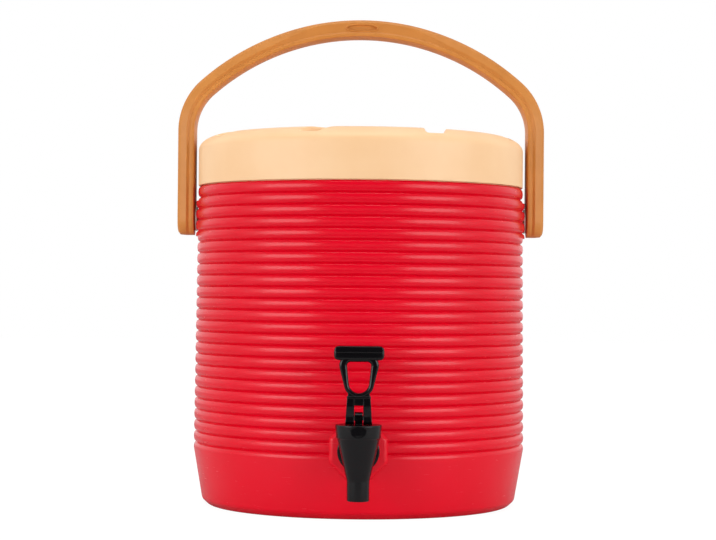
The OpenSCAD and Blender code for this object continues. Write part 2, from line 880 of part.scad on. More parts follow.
module stem_spring() {
    last = spring_turns * spring_rings;
    color("#b5b8ba") at_tap_axis() sweep([
        for (k = [0 : last])
            let (p = spring_point(k), out = [p[0], p[1], 0] / spring_r)
            [
                for (j = [0 : spring_sides - 1])
                    let (b = 360 * j / spring_sides)
                    p + spring_wire_r * (cos(b) * out + sin(b) * [0, 0, 1])
            ]
    ]);
}

// Side outline of the fork about its pin: a foot whose height grows evenly with the lever's tilt
function cam_point(t) =
    let (p = cam_low + cam_rate * t * PI / 180)
    [-p * sin(t) - cam_rate * cos(t), -p * cos(t) + cam_rate * sin(t)];

module fork_side() {
    toe = cam_point(lever_tilt);
    polygon([
        [fork_back, -cam_low],
        for (k = [0 : cam_steps]) cam_point(lever_tilt * k / cam_steps),
        [toe[0] + toe_w, toe[1] + toe_h], [-lever_t / 2, slot_h], [-lever_t / 2, fork_top],
        [lever_t / 2, fork_top], [lever_t / 2, slot_h], [fork_back, cam_low]
    ]);
}

module loop_window() {
    hull() {
        for (x = [-1, 1])
            translate([x * (loop_top_w / 2 - loop_top_r), loop_z + loop_h - loop_top_r])
                circle(r = loop_top_r, $fn = 32);
        translate([0, loop_z + loop_low_r]) circle(r = loop_low_r, $fn = 32);
    }
}

// Fork without its slot, wider towards its foot
module fork_block() {
    foot_z = -2 * cam_low;
    intersection() {
        translate([-fork_low_w / 2, 0, 0]) rotate([90, 0, 90]) linear_extrude(fork_low_w) fork_side();
        translate([0, fork_w, 0]) rotate([90, 0, 0]) linear_extrude(2 * fork_w) polygon([
            [-fork_low_w / 2, foot_z], [fork_low_w / 2, foot_z],
            [fork_w / 2, fork_top], [-fork_w / 2, fork_top]
        ]);
    }
}

module tap_lever() {
    color("#242325") at_tap_axis() difference() {
        union() {
            translate([0, 0, pin_z]) fork_block();
            translate([0, lever_t / 2, pin_z]) rotate([90, 0, 0]) linear_extrude(lever_t) difference() {
                offset(r = loop_bar, $fn = 32) loop_window();
                loop_window();
            }
            translate([0, bar_t / 2, bar_z]) rotate([90, 0, 0]) linear_extrude(bar_t)
                offset(r = bar_round, $fn = 32)
                    square([bar_w - 2 * bar_round, bar_h - 2 * bar_round], center = true);
        }
        translate([-slot_w / 2, -fork_w, pin_z - 2 * cam_low])
            cube([slot_w, 2 * fork_w, 2 * cam_low + slot_h]);
        lever_cylinder(pin_r + press_gap, 2 * fork_w);
    }
}

module lever_pin() {
    color("#9fa2a4") at_tap_axis() lever_cylinder(pin_r, fork_w);
}

module shank_sleeve() {
    color("#d9d6cf") difference() {
        intersection() {
            shank_cylinder(sleeve_r, liner_r - trim, pad_y);
            trim_block(shell_in_r - sleeve_play);
        }
        shank_cylinder(hole_r, liner_r - 2 * trim, pad_y + over);
        trim_block(liner_r + liner_t + fit_gap);
    }
}

module tap_washer_outer() {
    color("#1c1b1c") difference() {
        shank_cylinder(washer_out_r, pad_y, flange_y);
        shank_cylinder(hole_r, pad_y - over, flange_y + over);
    }
}

module tap_washer_inner() {
    color("#d9d6cf") difference() {
        intersection() {
            shank_cylinder(washer_in_r, nut_seat_y, liner_r + trim);
            trim_block(liner_r - press_gap);
        }
        shank_cylinder(hole_r, nut_seat_y - over, liner_r + 2 * trim);
    }
}

module shank_nut() {
    color("#242325") difference() {
        translate([0, -nut_y, tap_z]) rotate([90, 0, 0])
            cylinder(r = nut_w / 2 / cos(30), h = nut_t, $fn = 6);
        shank_cylinder(shank_r + press_gap, nut_y - over, nut_seat_y + over);
    }
}

outer_shell();
foam_port_plug();
insulation_foam();
inner_liner();
rim_collar();
pivot_inserts();
pivot_screws();
pivot_washers();
bail_handle();
pivot_caps();
lid_cover();
lid_inner();
lid_foam();
lid_seal();
vent_plug();
vent_washer();
tap_body();
tap_bonnet();
tap_stem();
seat_cup();
stem_spring();
tap_lever();
lever_pin();
shank_sleeve();
tap_washer_outer();
tap_washer_inner();
shank_nut();
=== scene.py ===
"""Looks of an insulated drink barrel with a screw lid, a carrying bail and a lever tap.

Lengths of the pieces are in millimetres and become metres where a mesh is made. The studio, its lamps
and the camera are in metres.
"""

import json
import math

import bmesh
import bpy
from mathutils import Matrix, Vector


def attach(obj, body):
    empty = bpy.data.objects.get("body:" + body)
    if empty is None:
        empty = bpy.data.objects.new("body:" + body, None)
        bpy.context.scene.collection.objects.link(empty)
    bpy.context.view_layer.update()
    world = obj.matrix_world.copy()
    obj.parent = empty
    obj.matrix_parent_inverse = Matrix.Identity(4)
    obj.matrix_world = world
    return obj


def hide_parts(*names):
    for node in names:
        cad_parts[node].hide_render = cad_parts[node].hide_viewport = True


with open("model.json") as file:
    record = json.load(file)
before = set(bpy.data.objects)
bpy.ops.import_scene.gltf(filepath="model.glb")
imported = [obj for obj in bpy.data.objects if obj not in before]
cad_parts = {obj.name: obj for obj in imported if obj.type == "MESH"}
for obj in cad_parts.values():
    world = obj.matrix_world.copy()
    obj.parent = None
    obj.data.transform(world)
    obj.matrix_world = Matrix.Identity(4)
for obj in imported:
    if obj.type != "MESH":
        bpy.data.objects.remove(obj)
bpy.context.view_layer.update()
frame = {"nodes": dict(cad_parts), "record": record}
nodes = frame["nodes"]

MM = 0.001

# Points closer than this are one, and faces thinner than this are dropped
SAME_POINT = 0.001
THIN_FACE = 0.0005

# Barrel: a ribbed wall that draws in towards its top, a plain band below it and a foot ring
BARREL_R = 151.6
BARREL_DRAW = 2
BARREL_SIDES = 224
RIB_COUNT = 23
RIB_PITCH = 10.15
RIB_DEPTH = 2.5
RIB_STEPS = 14
RIB_ARC = 11
RIB_SOFT = 0.25
GROOVE_SLOPE = 1.3
BAND_H = 57
BAND_TOP = BAND_H - RIB_PITCH / 2
SEAM_Z = BAND_H + RIB_COUNT * RIB_PITCH
SHELL_IN_R = 144.4
FOOT_R = 143.6
FOOT_ROUND = 6
FOOT_HEEL_Z = FOOT_ROUND * 0.9
FOOT_IN_R = 140.6
FOOT_RING_R = 123.6
FOOT_RECESS = 4
BASE_Z = 7
PORT_R = 9

# Pad under the tap. Each level says how far its outline draws in and how far forward it lies
PAD_SIDES = 8
PAD_TURN = 180 / PAD_SIDES
PAD_W = 50
PAD_CORNER = 3
PAD_Y = 152.2
PAD_BACK_Y = 146.4
PAD_LEVELS = [
    (0, PAD_BACK_Y),
    (0, PAD_Y - 3.2),
    (0.5, PAD_Y - 2),
    (2.2, PAD_Y - 0.4),
    (3.4, PAD_Y),
]

# Pivot bosses: patches of the ribbed wall, raised over their flat and sunk where they run out
PIVOT_Z = 261.05
BOSS_R = 16
BOSS_FACE_R = 151.55
BOSS_BACK_R = SHELL_IN_R + 1
BOSS_STEPS = 24
BOSS_SPAN = 34
BOSS_FLAT = 13
BOSS_SINK = 0.3

# Lid: a skirt, a crowned shoulder, a flat rim and a dish, with slanted grip grooves
LID_Z = 291.05
LID_R = 149.4
LID_TOP = 338.05
LID_ROUND = 14
LID_CROWN = 26
LID_WALL = 3
LID_IN_R = LID_R - LID_WALL
SKIRT_TOP = LID_TOP - LID_ROUND - 4
SHOULDER_STEPS = 30
RIM_STEP = 2
RIM_STEPS = 5
DISH_R = 109.4
DISH_Z = 330.05
DISH_ROUND = 2
CEILING_Z = 327.05
LEDGE_Z = 311.55
GRIP_COUNT = 8
GRIP_W = 18
GRIP_DEPTH = 5.5
GRIP_ROUND = 3
GRIP_LIP = 1.6
GRIP_LIP_STEPS = 4
GRIP_BLEND = 1.2
GRIP_TURN = 25.5
GRIP_SLANT = 25
LAND_STEPS = 20
THREAD_STARTS = 4
THREAD_LEAD = 30
THREAD_SPAN = 30
THREAD_STEPS = 8
THREAD_Z = 294.6
THREAD_SINK = 0.5
THREAD_REACH = 4.5
THREAD_ROOT_H = 1.5
THREAD_TIP_H = 0.9

# Vent: a stem through the lid, with a stop below it and a fluted knob on top
VENT_R = 5
VENT_FLAT_R = 9
VENT_LOW = 283.75
VENT_TIP_R = 4
VENT_STOP = 286.75
VENT_STOP_R = 6.2
VENT_HEAD_Z = 332.05
VENT_TOP = 342.05
KNOB_LOW_R = 11.8
KNOB_TOP_R = 10.4
KNOB_DISH_R = 7
KNOB_DISH_LOW_R = 5.5
KNOB_DISH_Z = VENT_TOP - 1
FLUTES = 12
FLUTE_R = 9
FLUTE_DEPTH = 0.7
KNOB_SIDES = FLUTES * 12
RUN_GAP = 0.05

# Bail: its section has a rounded inner face, a flat bead along both edges and a ridge on its arms
PIVOT_R = 6
HEAD_R = 8.3
HEAD_X = 163.15
HEAD_GAP = 0.3
BORE_OVER = 2
BORE_SIDES = 63
CAP_R = 8.22
CAP_T = 2.1
CAP_RIM_T = 2
CAP_RIM_W = 2
CAP_SIDES = 72
BAIL_X = 152.05
BAIL_T = 16.5
BAIL_W = 30
BAIL_CREASE = 8.2
BAIL_BEVEL = 4
BAIL_EDGE = 2.5
UNDER_W = 6
UNDER_OUT_W = 11.5
UNDER_RISE = 0.8
BEAD_LOW = 1.2
BEAD_HIGH = 4.2
BEAD_DRAFT = 0.3
BEAD_W = 5.5
BEAD_H = 1.8
GRIP_EDGE = 1
RIDGE_H = 1.3
RIDGE_RATE = 2.6
ARCH_R = 222
ARCH_Z = 223.05
ARCH_STEPS = 96
BEND_R = 62
BEND_X = BAIL_X + BAIL_T - BEND_R
BEND_Z = ARCH_Z + math.sqrt((ARCH_R - BEND_R) ** 2 - BEND_X**2)
BEND_ANGLE = math.degrees(math.atan2(BEND_Z - ARCH_Z, BEND_X))
BEND_STEPS = 16
GRIP_ANGLE = 11
END_STEPS = 35
END_INNER = 1
END_CORNER_W = 4.5
END_CORNER_H = 6

# Oval recess with a raised rim in the grip's front. Each level says how far its outline grows and how
# deep it lies. None lies in the grip's face, and recess and rim differ in their sides, for clean cuts
DIMPLE_L = 28
DIMPLE_H = 5
DIMPLE_Z = ARCH_Z + ARCH_R - BAIL_T / 2 + 0.9
DIMPLE_SIDES = 52
DIMPLE_LEVELS = [(0.3, -1.3), (0.1, 0.3), (-0.2, 1.3), (-0.9, 1.8)]
DIMPLE_RIM = 0.8
DIMPLE_RIM_SINK = 0.1
DIMPLE_RIM_STEPS = 10

# Tap: a funnel over a spout, and a shank through the barrel's wall
TAP_Z = 60
AXIS_Y = 185.7
TAP_SIDES = 128
TAP_TOP = 84.6
FUNNEL_R = 19.5
WAIST_Z = 75
WAIST_R = 18.2
WAIST_LOW = (WAIST_R - 0.5, WAIST_Z - 2.4)
WAIST_HIGH = (WAIST_R + 0.3, WAIST_Z - 1.4)
SPOUT_R = 9.5
SPOUT_LOW_R = SPOUT_R - 0.2
SPOUT_TOP_Z = 38
SPOUT_Z = 20.9
SPOUT_BORE_R = 6
SEAT_Z = 48
SEAT_R = 9.2
BONNET_Z = 76.6
BONNET_R = 15.45
FLANGE_Y = 154.2
FLANGE_T = 4
FLANGE_R = 18
NECK_R = 12
NECK_END_Y = AXIS_Y - 14
SHANK_R = 8
SHANK_BORE_R = 5.5
SHANK_END_Y = 106
SHANK_SIDES = 96
SHANK_TIP_R = SHANK_R - 0.8
SHANK_THREAD_Y = SHANK_END_Y + 1
SHANK_TURNS = 30
SHANK_PITCH = 1.5
SHANK_ROOT_R = SHANK_R - 0.7
SHANK_THREAD = [(SHANK_ROOT_R, 0), (SHANK_R, 0.5), (SHANK_R, 0.8), (SHANK_ROOT_R, 1.3)]

# Oval recess in the funnel's front. Each level says how far its outline grows and how deep it lies
EYE_Z = 79.4
EYE_W = 13.4
EYE_H = 8.4
EYE_FACE_R = 18.6
EYE_LEVELS = [(1.4, -2.0), (0.9, 0.0), (0.3, 0.35), (0, 1.0), (-0.4, 1.3)]

# Lever: a fork on the stem's pin, a finger loop above it and a bar across its top
PIN_Z = 90
FORK_W = 19.5
FORK_LOW_W = 23
FORK_TOP = 18
FORK_BACK = 5.5
FORK_EDGE = 0.35
SLOT_W = 7.5
SLOT_H = 10.4
LEVER_T = 8
LEVER_TILT = 45
STEM_LIFT = 5
CAM_LOW = 5.1
CAM_STEPS = 6
TOE_BACK = 1
TOE_H = 4
LOOP_Z = 20.7
LOOP_H = 26
LOOP_TOP_W = 20
LOOP_TOP_R = 3
LOOP_LOW_R = 8.5
LOOP_BAR = 6.5
LOOP_LOW_BAR = 4.2
LOOP_EDGE = 2
LOOP_FOOT = 2.5
LOOP_STEPS = 12
BRIDGE_INSET = 1
BRIDGE_SLIM = 0.4
COLLAR_H = 2.6
COLLAR_DROP = 1
COLLAR_WIDER = 0.8
COLLAR_THICKER = 0.9
BAR_W = 42
BAR_LOW_Z = 138
BAR_TOP_Z = 150
BAR_SPLIT_Z = 143.9
BAR_T = 9.5
BAR_SLIM = 0.6
BAR_CORNER = 4.5
BAR_EDGE = 2
LIP_GAP = 0.4
LIP_INSET = 1.6
LIP_CORNER = 2.8
LIP_EDGE = 0.9


# Materials

# Sockets of the mix node that carry colours
MIX_FIRST = 6
MIX_LAST = 7
MIX_OUT = 2

# Tool marks in a mould, in millimetres, and how far they change the roughness
TOOL_MARK = 12
MARK_GLOSS = 0.01


def linear(code):
    """Linear colour of an sRGB hex value."""
    shares = [int(code[k : k + 2], 16) / 255 for k in (1, 3, 5)]
    return [*((c / 12.92 if c <= 0.04045 else ((c + 0.055) / 1.055) ** 2.4) for c in shares), 1]


def add(tree, kind, inputs=None, **settings):
    """A node with its settings, whose inputs are values or other nodes' outputs."""
    node = tree.nodes.new(kind)
    for key, value in settings.items():
        setattr(node, key, value)
    for key, value in (inputs or {}).items():
        if isinstance(value, bpy.types.NodeSocket):
            tree.links.new(value, node.inputs[key])
        else:
            node.inputs[key].default_value = value
    return node


def start_material(name, **values):
    """A material with one shader, and the place on the piece in metres."""
    material = bpy.data.materials.new(name)
    material.use_nodes = True
    tree = material.node_tree
    shader = tree.nodes["Principled BSDF"]
    for key, value in values.items():
        shader.inputs[key.replace("_", " ")].default_value = value
    place = add(tree, "ShaderNodeTexCoord").outputs["Object"]
    return material, tree, shader, place


def per_metre(millimetres):
    """Pattern scale for features of a real size."""
    return 1000 / millimetres


def moulded(name, colour, deep, roughness, ior, mottle, grain, depth, along=(1, 1, 1), sheen=0.5):
    """Injection-moulded plastic: slightly mottled colour, the mould's fine grain, uneven gloss.

    mottle and grain are sizes in millimetres, depth is the grain's height in millimetres, along
    stretches the uneven gloss as the mould's tool marks do, and sheen is the specular level.
    """
    material, tree, shader, place = start_material(name, IOR=ior, Specular_IOR_Level=sheen)
    cloud = add(tree, "ShaderNodeTexNoise", {"Vector": place, "Scale": per_metre(mottle), "Detail": 3})
    ramp = add(
        tree,
        "ShaderNodeMapRange",
        {"Value": cloud.outputs["Fac"], "From Min": 0.3, "From Max": 0.7},
    )
    paint = add(
        tree,
        "ShaderNodeMix",
        {"Factor": ramp.outputs["Result"], MIX_FIRST: linear(colour), MIX_LAST: linear(deep)},
        data_type="RGBA",
    )
    tree.links.new(paint.outputs[MIX_OUT], shader.inputs["Base Color"])
    stretch = add(tree, "ShaderNodeMapping", {"Vector": place, "Scale": along})
    marks = add(
        tree,
        "ShaderNodeTexNoise",
        {"Vector": stretch.outputs["Vector"], "Scale": per_metre(TOOL_MARK), "Detail": 4},
    )
    gloss = add(
        tree,
        "ShaderNodeMapRange",
        {
            "Value": marks.outputs["Fac"],
            "To Min": roughness - MARK_GLOSS,
            "To Max": roughness + MARK_GLOSS,
        },
    )
    tree.links.new(gloss.outputs["Result"], shader.inputs["Roughness"])
    grit = add(tree, "ShaderNodeTexNoise", {"Vector": place, "Scale": per_metre(grain), "Detail": 2})
    bump = add(
        tree,
        "ShaderNodeBump",
        {"Height": grit.outputs["Fac"], "Strength": 0.5, "Distance": depth * MM},
    )
    tree.links.new(bump.outputs["Normal"], shader.inputs["Normal"])
    return material


def drawn_steel(name, colour, roughness, streak):
    """Drawn or turned metal: soft mirror gloss, with fine streaks round it, long for their width."""
    material, tree, shader, place = start_material(name, Metallic=1.0, Base_Color=linear(colour))
    stretch = add(tree, "ShaderNodeMapping", {"Vector": place, "Scale": (0.05, 0.05, 1)})
    streaks = add(
        tree,
        "ShaderNodeTexNoise",
        {"Vector": stretch.outputs["Vector"], "Scale": per_metre(streak), "Detail": 4},
    )
    gloss = add(
        tree,
        "ShaderNodeMapRange",
        {"Value": streaks.outputs["Fac"], "To Min": roughness - 0.1, "To Max": roughness + 0.12},
    )
    tree.links.new(gloss.outputs["Result"], shader.inputs["Roughness"])
    return material


def cast_foam(name, colour, deep, cell):
    """Rigid polyurethane foam: matte cells, with painted shade darkening their hollows."""
    material, tree, shader, place = start_material(name, Roughness=0.95, IOR=1.5)
    cells = add(tree, "ShaderNodeTexVoronoi", {"Vector": place, "Scale": per_metre(cell)})
    # Painted shade: the colour turns darker towards each cell's middle, where its hollow lies
    paint = add(
        tree,
        "ShaderNodeMix",
        {"Factor": cells.outputs["Distance"], MIX_FIRST: linear(deep), MIX_LAST: linear(colour)},
        data_type="RGBA",
    )
    tree.links.new(paint.outputs[MIX_OUT], shader.inputs["Base Color"])
    bump = add(
        tree,
        "ShaderNodeBump",
        {"Height": cells.outputs["Distance"], "Strength": 0.6, "Distance": 0.3 * MM},
    )
    tree.links.new(bump.outputs["Normal"], shader.inputs["Normal"])
    return material


# Finishes by the record's material slots. Grain finer than the picture's pixels is drawn a little
# coarser than life, so that it still breaks up the gloss.
FINISH = {
    # Polypropylene, satin from its mould, with tool marks running round the ribs
    "red_plastic": moulded(
        "moulded_red_polypropylene",
        "#E20223",
        "#DE0220",
        roughness=0.27,
        ior=1.49,
        mottle=45,
        grain=0.9,
        depth=0.002,
        along=(1, 1, 9),
        sheen=0.28,
    ),
    # Polypropylene, paler and more matte
    "beige_plastic": moulded(
        "moulded_beige_polypropylene",
        "#FBD0A0",
        "#F8CA98",
        roughness=0.46,
        ior=1.49,
        mottle=40,
        grain=0.8,
        depth=0.025,
    ),
    "white_plastic": moulded(
        "moulded_white_polypropylene",
        "#F1EEE6",
        "#E9E5DB",
        roughness=0.42,
        ior=1.49,
        mottle=30,
        grain=0.8,
        depth=0.02,
    ),
    # Nylon, golden brown, whose fibres leave a faint cloud in the gloss
    "brown_plastic": moulded(
        "moulded_golden_nylon",
        "#D28942",
        "#C8803B",
        roughness=0.42,
        ior=1.53,
        mottle=22,
        grain=0.7,
        depth=0.008,
        along=(1, 3, 1),
        sheen=0.24,
    ),
    # ABS, black, satin, with a fine sparkle of grain
    "black_plastic": moulded(
        "moulded_black_abs",
        "#0B0A0C",
        "#08070A",
        roughness=0.22,
        ior=1.54,
        mottle=9,
        grain=0.5,
        depth=0.015,
        sheen=0.26,
    ),
    # Stainless sheet and turned hardware, with their streaks' width in millimetres
    "stainless_sheet": drawn_steel("drawn_stainless_steel", "#C9CBCC", roughness=0.28, streak=1.2),
    "steel_hardware": drawn_steel("turned_stainless_steel", "#B4B6B8", roughness=0.3, streak=0.6),
    "brass_inserts": drawn_steel("turned_brass", "#C4A254", roughness=0.32, streak=0.6),
    # Foam: its darker tone is painted shade in the hollows of its cells
    "foam": cast_foam("rigid_polyurethane_foam", "#F0E2B8", "#D8C48E", cell=1.6),
    # Pressed seals: milky silicone and black rubber, both dull
    "silicone": moulded(
        "pressed_silicone",
        "#DAD6CC",
        "#D2CDC2",
        roughness=0.55,
        ior=1.41,
        mottle=10,
        grain=0.6,
        depth=0.015,
    ),
    "black_rubber": moulded(
        "pressed_black_rubber",
        "#171717",
        "#101010",
        roughness=0.62,
        ior=1.52,
        mottle=8,
        grain=0.6,
        depth=0.02,
    ),
}


# Mesh code

# The most of an edge that the curve at its corner may take up
CORNER_SHARE = 0.49


def rounded(corners, steps=4):
    """Outline whose corners (x, y, radius) become short curves."""
    out = []
    for i, (x, y, radius) in enumerate(corners):
        if not radius:
            out.append((x, y))
            continue
        here = Vector((x, y))
        back = Vector(corners[i - 1][:2]) - here
        ahead = Vector(corners[(i + 1) % len(corners)][:2]) - here
        half = back.angle(ahead) / 2
        most = CORNER_SHARE * min(back.length, ahead.length)
        reach = max(0, min(radius / math.tan(half), most))
        first = here + back.normalized() * reach
        last = here + ahead.normalized() * reach
        for k in range(steps + 1):
            t = k / steps
            out.append(tuple(first * (1 - t) ** 2 + here * 2 * t * (1 - t) + last * t**2))
    return out


def box_outline(width, height, radius):
    """Rectangle about the origin with rounded corners."""
    x, y = width / 2, height / 2
    return rounded([(-x, -y, radius), (x, -y, radius), (x, y, radius), (-x, y, radius)])


def oval(width, height, count=48):
    """Ellipse about the origin."""
    angles = [2 * math.pi * k / count for k in range(count)]
    return [(width / 2 * math.cos(a), height / 2 * math.sin(a)) for a in angles]


def skin(rings, ends=True, loop=False, closed=True):
    """Points and faces through rings of as many points each.

    ends closes the first and last ring, loop joins the last ring to the first, and closed joins each
    ring's last point to its first.
    """
    m = len(rings[0])
    points = [p for ring in rings for p in ring]
    pairs = [(k, k + 1) for k in range(len(rings) - 1)]
    if loop:
        pairs.append((len(rings) - 1, 0))
    faces = []
    for a, b in pairs:
        for j in range(m if closed else m - 1):
            after = (j + 1) % m
            faces.append((a * m + j, a * m + after, b * m + after, b * m + j))
    if ends and not loop:
        faces.append(tuple(range(m - 1, -1, -1)))
        faces.append(tuple((len(rings) - 1) * m + j for j in range(m)))
    return points, faces


def turned(section, angle):
    """A section of (radius, height), at an angle round the Z axis."""
    return [(r * math.cos(angle), r * math.sin(angle), z) for r, z in section]


def lathe(section, count):
    """A closed section turned about the Z axis."""
    return skin([turned(section, 2 * math.pi * k / count) for k in range(count)], loop=True)


def plate(outlines, thickness, edge):
    """A flat piece with rounded edges, in the XY plane about its middle, from its outlines."""
    curve = bpy.data.curves.new("outline", "CURVE")
    curve.dimensions = "2D"
    curve.fill_mode = "BOTH"
    curve.extrude = thickness / 2 - edge
    curve.bevel_depth = edge
    curve.bevel_resolution = 2
    curve.offset = -edge
    for outline in outlines:
        spline = curve.splines.new("POLY")
        spline.points.add(len(outline) - 1)
        for point, (x, y) in zip(spline.points, outline):
            point.co = (x, y, 0, 1)
        spline.use_cyclic_u = True
    holder = bpy.data.objects.new("outline", curve)
    mesh = holder.to_mesh()
    points = [tuple(v.co) for v in mesh.vertices]
    faces = [tuple(f.vertices) for f in mesh.polygons]
    holder.to_mesh_clear()
    bpy.data.objects.remove(holder)
    bpy.data.curves.remove(curve)
    return points, faces


def placed(shape, place):
    """A shape moved by a matrix."""
    points, faces = shape
    return [tuple(place @ Vector(p)) for p in points], faces


def together(*shapes):
    """Several shapes as one, whose open edges join where they meet."""
    points, faces = [], []
    for more_points, more_faces in shapes:
        base = len(points)
        points += more_points
        faces += [tuple(base + i for i in f) for f in more_faces]
    return points, faces


def mesh_object(name, shape):
    """A Blender object in metres from a shape in millimetres, with no double points or loose edges."""
    points, faces = shape
    mesh = bpy.data.meshes.new(name)
    mesh.from_pydata([[c * MM for c in p] for p in points], [], faces)
    form = bmesh.new()
    form.from_mesh(mesh)
    bmesh.ops.remove_doubles(form, verts=form.verts, dist=SAME_POINT * MM)
    bmesh.ops.dissolve_degenerate(form, edges=form.edges, dist=THIN_FACE * MM)
    loose = [e for e in form.edges if e.is_wire]
    bmesh.ops.delete(form, geom=loose, context="EDGES")
    bmesh.ops.recalc_face_normals(form, faces=form.faces)
    form.to_mesh(mesh)
    form.free()
    obj = bpy.data.objects.new(name, mesh)
    bpy.context.scene.collection.objects.link(obj)
    return obj


def cut(obj, shape, operation="DIFFERENCE"):
    """Takes a closed shape out of a piece, or joins it on."""
    tool = mesh_object("cutter", shape)
    modifier = obj.modifiers.new("cut", "BOOLEAN")
    modifier.operation = operation
    modifier.solver = "EXACT"
    modifier.object = tool
    whole = bpy.data.meshes.new_from_object(obj.evaluated_get(bpy.context.evaluated_depsgraph_get()))
    obj.modifiers.clear()
    old = obj.data
    obj.data = whole
    bpy.data.meshes.remove(old)
    bpy.data.objects.remove(tool)


def finish_mesh(mesh, slot, sharp):
    """Gives a mesh its finish, and smooth shading up to an angle in degrees."""
    mesh.materials.clear()
    mesh.materials.append(FINISH[slot])
    mesh.shade_smooth()
    mesh.set_sharp_from_angle(angle=math.radians(sharp))


def dress(obj, slot, body, sharp=32, stands_for=()):
    """Gives a piece its finish, shading, body and the solids that it stands for."""
    finish_mesh(obj.data, slot, sharp)
    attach(obj, body)
    if stands_for:
        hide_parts(*stands_for)


def facing_front(x, y, z):
    """Matrix that stands an XY shape upright, with its Z towards the front, at a place."""
    return Matrix.Translation((x, y, z)) @ Matrix.Rotation(math.radians(90), 4, "X")


def facing_side(x, y, z, side):
    """Matrix that turns a Z axis to point outwards along X, at a place."""
    return Matrix.Translation((x, y, z)) @ Matrix.Rotation(math.radians(90 * side), 4, "Y")


SIDES = ((1, "right"), (-1, "left"))


# Barrel


def rib_drop(off):
    """Depth below a rib's crest at a distance from its middle: a flat arc, then a groove's straight side."""
    arc = off**2 / (2 * RIB_ARC)
    side = RIB_DEPTH - (RIB_PITCH / 2 - abs(off)) * GROOVE_SLOPE
    return (arc + side + math.hypot(arc - side, RIB_SOFT)) / 2


def rib_radius(z):
    """Radius of the ribbed wall at a height."""
    i = min(RIB_COUNT - 1, math.floor((z - BAND_H) / RIB_PITCH))
    crest = BARREL_R - BARREL_DRAW * max(i, 0) / (RIB_COUNT - 1)
    return crest - rib_drop(z - BAND_H - (i + 0.5) * RIB_PITCH)


def rib_points(top, low):
    """Points down the ribbed wall between two heights."""
    count = round((top - low) * RIB_STEPS / RIB_PITCH)
    heights = [top + (low - top) * k / count for k in range(count + 1)]
    return [(rib_radius(z), z) for z in heights]


ribs = rib_points(SEAM_Z, BAND_TOP)
foot = rounded(
    [
        ribs[-1] + (0,),
        (FOOT_R, FOOT_HEEL_Z, FOOT_ROUND),
        (FOOT_R - FOOT_ROUND, 0, FOOT_ROUND),
        (FOOT_RING_R, 0, 1.2),
        (FOOT_RING_R, FOOT_RECESS, 1),
        (PORT_R, FOOT_RECESS, 0),
        (PORT_R, BASE_Z, 0),
        (FOOT_IN_R, BASE_Z, 0),
        (SHELL_IN_R, BAND_H, 0),
        (SHELL_IN_R, SEAM_Z, 0),
    ],
    steps=6,
)
shell = mesh_object("barrel_shell", lathe(ribs[:-1] + foot, BARREL_SIDES))
dress(shell, "red_plastic", "barrel", stands_for=["outer_shell"])

pad_corners = [math.radians(PAD_TURN + 2 * PAD_TURN * k) for k in range(PAD_SIDES)]
pad_rings = []
for inset, front in PAD_LEVELS:
    corner_r = (PAD_W / 2 - inset) / math.cos(math.radians(PAD_TURN))
    outline = rounded([(corner_r * math.cos(a), corner_r * math.sin(a), PAD_CORNER) for a in pad_corners])
    pad_rings.append([(x, -front, TAP_Z + z) for x, z in outline])
pad = mesh_object("tap_pad", skin(pad_rings))
dress(pad, "red_plastic", "barrel")

boss_wall = rib_points(PIVOT_Z + BOSS_R, PIVOT_Z - BOSS_R)
boss_rise = BOSS_FACE_R - max(r for r, z in boss_wall)
boss_back = [(BOSS_BACK_R, PIVOT_Z - BOSS_R), (BOSS_BACK_R, PIVOT_Z + BOSS_R)]
for side, hand in SIDES:
    boss_rings = []
    for k in range(BOSS_STEPS + 1):
        across = BOSS_SPAN * (2 * k / BOSS_STEPS - 1)
        share = min(1, (BOSS_SPAN - abs(across)) / (BOSS_SPAN - BOSS_FLAT))
        rise = (boss_rise + BOSS_SINK) * share * share * (3 - 2 * share) - BOSS_SINK
        ring = turned([(r + rise, z) for r, z in boss_wall] + boss_back, across / BOSS_FACE_R)
        boss_rings.append([(side * x, y, z) for x, y, z in ring])
    boss = mesh_object("pivot_boss_" + hand, skin(boss_rings))
    dress(boss, "red_plastic", "barrel")


# Lid


def grip_angle(r, across):
    """Angle of a groove's line at a radius, from the groove's mouth, at a distance from its middle."""
    r = min(LID_R, max(DISH_R, r))
    slant = math.radians(GRIP_SLANT)
    reach = LID_R * math.cos(slant) - math.sqrt(r**2 - (LID_R * math.sin(slant) + across) ** 2)
    x = LID_R + across * math.sin(slant) - reach * math.cos(slant)
    y = across * math.cos(slant) + reach * math.sin(slant)
    return math.atan2(y, x)


def grip_drop(across):
    """Depth of a groove at a distance from its middle: flat floor, round sides, rounded lip."""
    side = GRIP_W / 2
    off = abs(across) - (side - GRIP_ROUND)
    if off <= 0:
        return GRIP_DEPTH
    if off <= GRIP_ROUND:
        return GRIP_DEPTH - GRIP_ROUND + math.sqrt(GRIP_ROUND**2 - off**2)
    return (GRIP_DEPTH - GRIP_ROUND) * max(0, 1 - (off - GRIP_ROUND) / GRIP_LIP) ** 2


def soft_min(a, b, width):
    """The lesser of two heights, with a rounded change between them."""
    share = max(0, 1 - abs(a - b) / width)
    return min(a, b) - width * share**2 / 4


